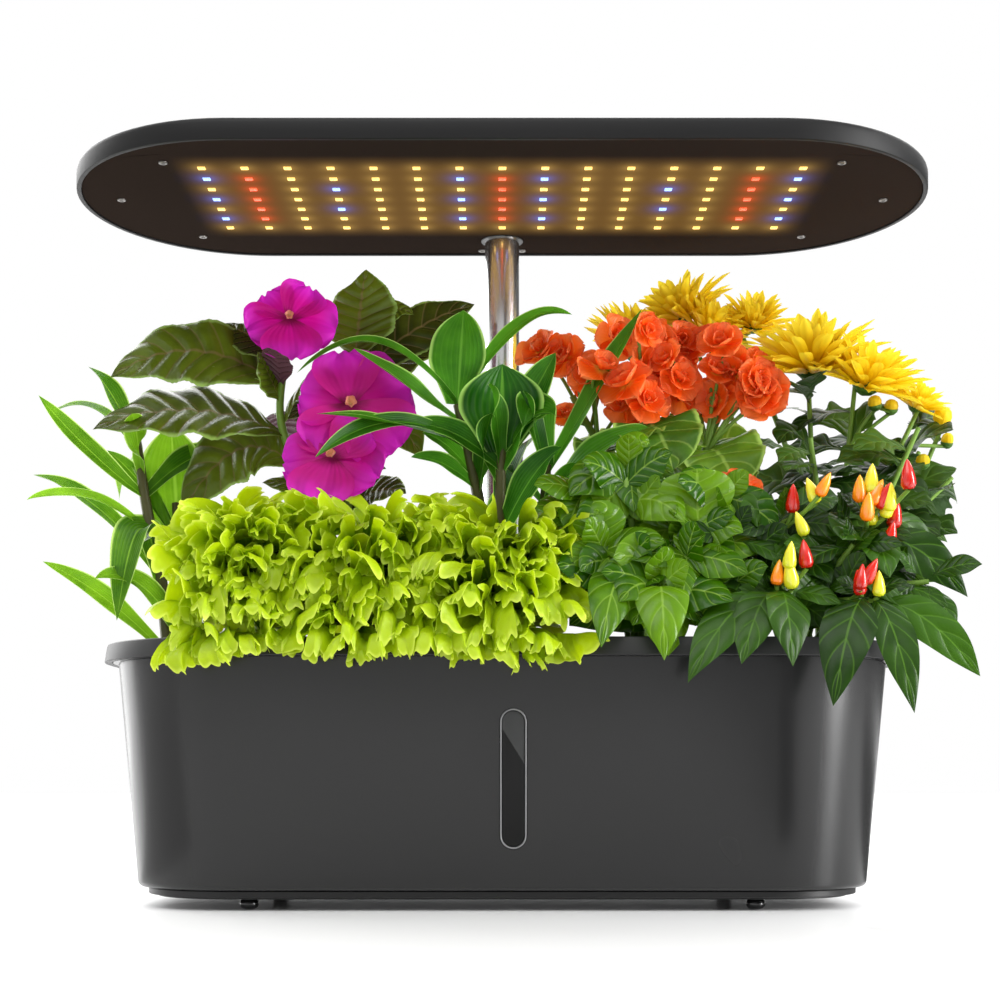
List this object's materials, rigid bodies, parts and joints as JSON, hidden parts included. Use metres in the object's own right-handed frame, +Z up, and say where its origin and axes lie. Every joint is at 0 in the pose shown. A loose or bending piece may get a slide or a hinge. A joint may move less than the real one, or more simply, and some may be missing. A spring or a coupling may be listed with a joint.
{
  "type": "countertop hydroponic garden",
  "caption": "Countertop hydroponic garden: a water tank with a planted pod deck, a water window, and a grow lamp on a telescopic pole.",
  "frame": {"origin": "on the table, below the middle of the tank", "axes": "+Z up, +X to the right along the long side, -Y towards the front with the water window"},
  "size_m": [0.4615, 0.204, 0.35],
  "materials": {
    "charcoal_plastic": "satin moulded",
    "deck_plastic": "satin moulded",
    "black_plastic": "fine grain",
    "basket_plastic": "fine grain",
    "gloss_black": "gloss",
    "window_glass": "clear, smoked by the dark inside",
    "white_plastic": "smooth",
    "steel": "bright",
    "brushed_steel": "brushed along the length",
    "circuit_board": "solder mask",
    "cable": "smooth",
    "lamp_shell": "satin moulded",
    "lamp_plate": "dark coated",
    "led_chip": "glowing phosphor",
    "sponge": "open foam",
    "leaf_dracaena": "smooth living leaf",
    "leaf_impatiens": "glossy living leaf",
    "leaf_begonia": "soft living leaf",
    "leaf_mum": "lobed living leaf",
    "leaf_lettuce": "frilled living leaf",
    "leaf_basil": "puckered living leaf",
    "leaf_pepper": "smooth living leaf",
    "petal_magenta": "soft petal",
    "petal_orange": "soft petal",
    "petal_yellow": "soft petal",
    "fruit": "glossy skin"
  },
  "bodies": {
    "tank": {"tank": "charcoal_plastic", "base_plate": "black_plastic", "foot_front_left": "gloss_black", "foot_front_right": "gloss_black", "foot_rear_left": "gloss_black", "foot_rear_right": "gloss_black", "window_bezel": "black_plastic", "window_lens": "window_glass", "float_guide": "black_plastic"},
    "float": {"level_float": "black_plastic"},
    "deck": {"deck": "deck_plastic", "flap_pin": "steel", "console": "deck_plastic", "control_board": "circuit_board", "dc_inlet": "black_plastic", "pole_socket": "black_plastic", "lower_tube": "brushed_steel", "tube_collar": "black_plastic", "pump_housing": "black_plastic", "pump_cover": "black_plastic", "pump_nozzle": "black_plastic", "pump_column": "black_plastic", "basket_dracaena_left": "basket_plastic", "plant_dracaena_left": "leaf_dracaena", "basket_impatiens": "basket_plastic", "plant_impatiens": "leaf_impatiens", "basket_dracaena_centre": "basket_plastic", "plant_dracaena_centre": "leaf_dracaena", "basket_begonia": "basket_plastic", "plant_begonia": "leaf_begonia", "basket_mum": "basket_plastic", "plant_mum": "leaf_mum", "basket_lettuce_left": "basket_plastic", "plant_lettuce_left": "leaf_lettuce", "basket_lettuce_middle": "basket_plastic", "plant_lettuce_middle": "leaf_lettuce", "basket_lettuce_right": "basket_plastic", "plant_lettuce_right": "leaf_lettuce", "basket_basil": "basket_plastic", "plant_basil": "leaf_basil", "basket_pepper": "basket_plastic", "plant_pepper": "leaf_pepper"},
    "flap": {"fill_flap": "deck_plastic"},
    "power_button": {"power_button": "black_plastic"},
    "mode_button": {"mode_button": "black_plastic"},
    "rotor": {"pump_rotor": "white_plastic"},
    "lamp": {"upper_tube": "brushed_steel", "lamp_lead": "cable", "lamp_bracket": "steel", "lamp_cover": "lamp_shell", "led_board": "lamp_plate", "led_driver": "white_plastic", "lamp_screw_1": "steel", "lamp_screw_2": "steel", "lamp_screw_3": "steel", "lamp_screw_4": "steel", "lamp_screw_5": "steel", "lamp_screw_6": "steel", "lamp_screw_7": "steel", "lamp_screw_8": "steel"}
  },
  "joints": [
    {"name": "deck_lift", "type": "slide", "parent": "tank", "child": "deck", "axis": [0, 0, 1], "range_m": [0, 0.16]},
    {"name": "float_rise", "type": "slide", "parent": "tank", "child": "float", "axis": [0, -0.0872, 0.9962], "range_m": [0, 0.045]},
    {"name": "lamp_height", "type": "slide", "parent": "deck", "child": "lamp", "axis": [0, 0, 1], "range_m": [-0.01, 0.08], "deforming": ["lamp_lead"]},
    {"name": "flap_hinge", "type": "hinge", "parent": "deck", "child": "flap", "pos_m": [-0.06045, 0.07146, 0.1213], "axis": [-1, 0, 0], "range_deg": [0, 100]},
    {"name": "power_press", "type": "slide", "parent": "deck", "child": "power_button", "axis": [0, 0, -1], "range_m": [0, 0.0012], "stiffness_N_per_m": 200},
    {"name": "mode_press", "type": "slide", "parent": "deck", "child": "mode_button", "axis": [0, 0, -1], "range_m": [0, 0.0012], "stiffness_N_per_m": 200},
    {"name": "rotor_spin", "type": "hinge", "parent": "deck", "child": "rotor", "pos_m": [0.09756, 0.04798, 0.031], "axis": [1, 0, 0], "continuous": true}
  ]
}
